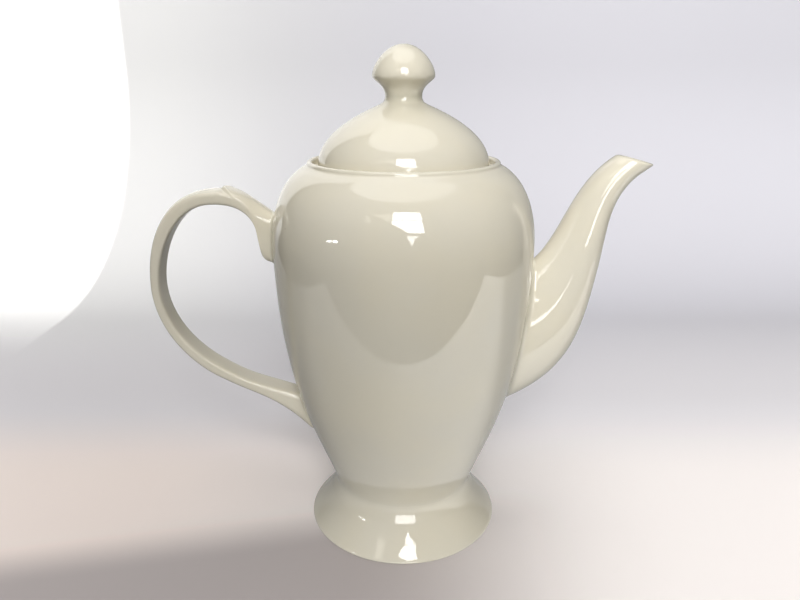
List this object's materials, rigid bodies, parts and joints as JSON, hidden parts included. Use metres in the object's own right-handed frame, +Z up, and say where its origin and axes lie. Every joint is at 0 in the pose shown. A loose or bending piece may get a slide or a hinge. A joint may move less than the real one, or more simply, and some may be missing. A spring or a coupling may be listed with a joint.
{
  "type": "coffee pot",
  "caption": "Tall vase-shaped glazed pot on a flared foot, with a curved spout, an ear-shaped strap handle and a domed lid with a knob.",
  "frame": {"origin": "centre of the foot's standing ring, on the table", "axes": "+Z up along the body's axis, +X towards the spout, -X towards the handle"},
  "size_m": [0.2494, 0.1296, 0.248],
  "materials": {
    "white_glaze": "gloss"
  },
  "bodies": {
    "pot": {"pot_body": "white_glaze", "foot": "white_glaze", "spout": "white_glaze", "handle": "white_glaze"},
    "lid": {"lid": "white_glaze", "lid_flange": "white_glaze", "lid_lug": "white_glaze", "knob": "white_glaze"}
  },
  "joints": [
    {"name": "lid_lift", "type": "slide", "parent": "pot", "child": "lid", "axis": [0, 0, 1], "range_m": [0, 0.06]}
  ]
}
